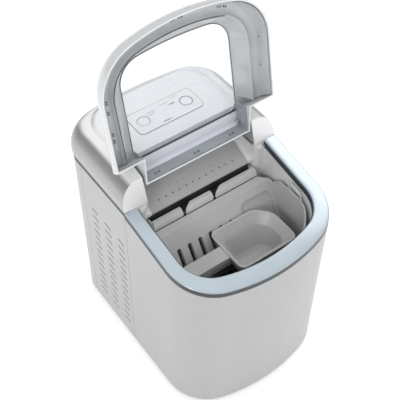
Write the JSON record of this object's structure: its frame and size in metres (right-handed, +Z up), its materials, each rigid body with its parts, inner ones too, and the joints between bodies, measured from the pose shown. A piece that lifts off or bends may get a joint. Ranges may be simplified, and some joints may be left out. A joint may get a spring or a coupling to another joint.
{
  "type": "counter-top ice maker",
  "caption": "Counter-top ice maker with a hinged window lid, lift-out ice basket and scoop, tilting water tray and freezing fingers.",
  "frame": {"origin": "middle of the footprint, on the surface the feet stand on", "axes": "+X to the right seen from the front, -Y towards the front, +Z up"},
  "size_m": [0.222, 0.304, 0.4826],
  "materials": {
    "black_plastic": "matte",
    "rubber_black": "matte",
    "satin_silver": "satin",
    "steel": "brushed",
    "rim_chrome": "gloss",
    "dark_band": "satin",
    "liner_grey": "satin",
    "foam": "matte",
    "copper": "satin",
    "plated_copper": "polished",
    "basket_grey": "satin",
    "scoop_grey": "satin",
    "cover_silver": "gloss",
    "panel_white": "gloss",
    "indicator": "gloss",
    "board_green": "satin",
    "lid_silver": "gloss",
    "smoke_clear": "gloss",
    "window_clear": "gloss",
    "white_plastic": "satin",
    "hose_clear": "satin",
    "compressor_black": "gloss",
    "winding": "satin",
    "alu_fins": "satin"
  },
  "bodies": {
    "housing": {"base_tray": "black_plastic", "foot_front_left": "rubber_black", "foot_front_right": "rubber_black", "foot_rear_left": "rubber_black", "foot_rear_right": "rubber_black", "front_shell": "satin_silver", "side_panel_left": "satin_silver", "side_panel_right": "satin_silver", "rear_panel": "satin_silver", "panel_screws": "steel", "trim_ring": "rim_chrome", "trim_band": "dark_band", "inner_tub": "liner_grey", "tub_insulation": "foam", "evaporator_cover": "liner_grey", "evaporator_tube": "copper", "freezing_fingers": "plated_copper", "tray_motor": "black_plastic", "ice_sensor_left": "liner_grey", "ice_sensor_right": "liner_grey", "rear_cover": "cover_silver", "control_panel": "panel_white", "indicator_lenses": "indicator", "control_board": "board_green", "main_board": "board_green", "water_pump": "white_plastic", "water_hose": "hose_clear", "drain_pipe": "white_plastic", "compressor_shell": "compressor_black", "compressor_cap": "compressor_black", "compressor_motor": "winding", "compressor_grommets": "rubber_black", "condenser": "alu_fins", "fan_shroud": "black_plastic", "fan_motor": "black_plastic", "filter_drier": "copper", "refrigerant_lines": "copper", "gas_valve": "steel", "power_inlet": "black_plastic"},
    "lid": {"lid_frame": "lid_silver", "lid_liner": "smoke_clear", "lid_window": "window_clear", "lid_pin_left": "steel", "lid_pin_right": "steel"},
    "basket": {"ice_basket": "basket_grey"},
    "scoop": {"ice_scoop": "scoop_grey"},
    "tray": {"water_tray": "liner_grey", "tray_shaft": "steel"},
    "pusher": {"ice_pusher": "liner_grey"},
    "power_key": {"power_button": "panel_white"},
    "select_key": {"select_button": "panel_white"},
    "fan": {"fan_blades": "black_plastic"},
    "impeller": {"pump_impeller": "black_plastic"},
    "drain": {"drain_plug": "rubber_black"}
  },
  "joints": [
    {"name": "lid_hinge", "type": "hinge", "parent": "housing", "child": "lid", "pos_m": [0, 0.0231, 0.3016], "axis": [-1, 0, 0], "range_deg": [-112, 0]},
    {"name": "basket_lift", "type": "slide", "parent": "housing", "child": "basket", "axis": [0, 0, 1], "range_m": [0, 0.15]},
    {"name": "scoop_lift", "type": "slide", "parent": "basket", "child": "scoop", "axis": [0, 0, 1], "range_m": [0, 0.12]},
    {"name": "tray_tilt", "type": "hinge", "parent": "housing", "child": "tray", "pos_m": [0, 0.031, 0.222], "axis": [1, 0, 0], "range_deg": [0, 75]},
    {"name": "pusher_slide", "type": "slide", "parent": "housing", "child": "pusher", "axis": [0, 1, 0], "range_m": [0, 0.018]},
    {"name": "power_press", "type": "slide", "parent": "housing", "child": "power_key", "axis": [0, 0, -1], "range_m": [0, 0.0012], "stiffness_N_per_m": 400, "springref_m": -0.001},
    {"name": "select_press", "type": "slide", "parent": "housing", "child": "select_key", "axis": [0, 0, -1], "range_m": [0, 0.0012], "stiffness_N_per_m": 400, "springref_m": -0.001},
    {"name": "fan_spin", "type": "hinge", "parent": "housing", "child": "fan", "pos_m": [-0.068, 0.06, 0.08], "axis": [1, 0, 0], "continuous": true},
    {"name": "pump_spin", "type": "hinge", "parent": "housing", "child": "impeller", "pos_m": [0.03, -0.044, 0.042], "axis": [0, 0, 1], "continuous": true},
    {"name": "drain_pull", "type": "slide", "parent": "housing", "child": "drain", "axis": [0, 1, 0], "range_m": [0, 0.03]}
  ],
  "couplings": [
    {"joint": "pusher_slide", "follows": "tray_tilt", "m_per_rad": 0.013737}
  ]
}
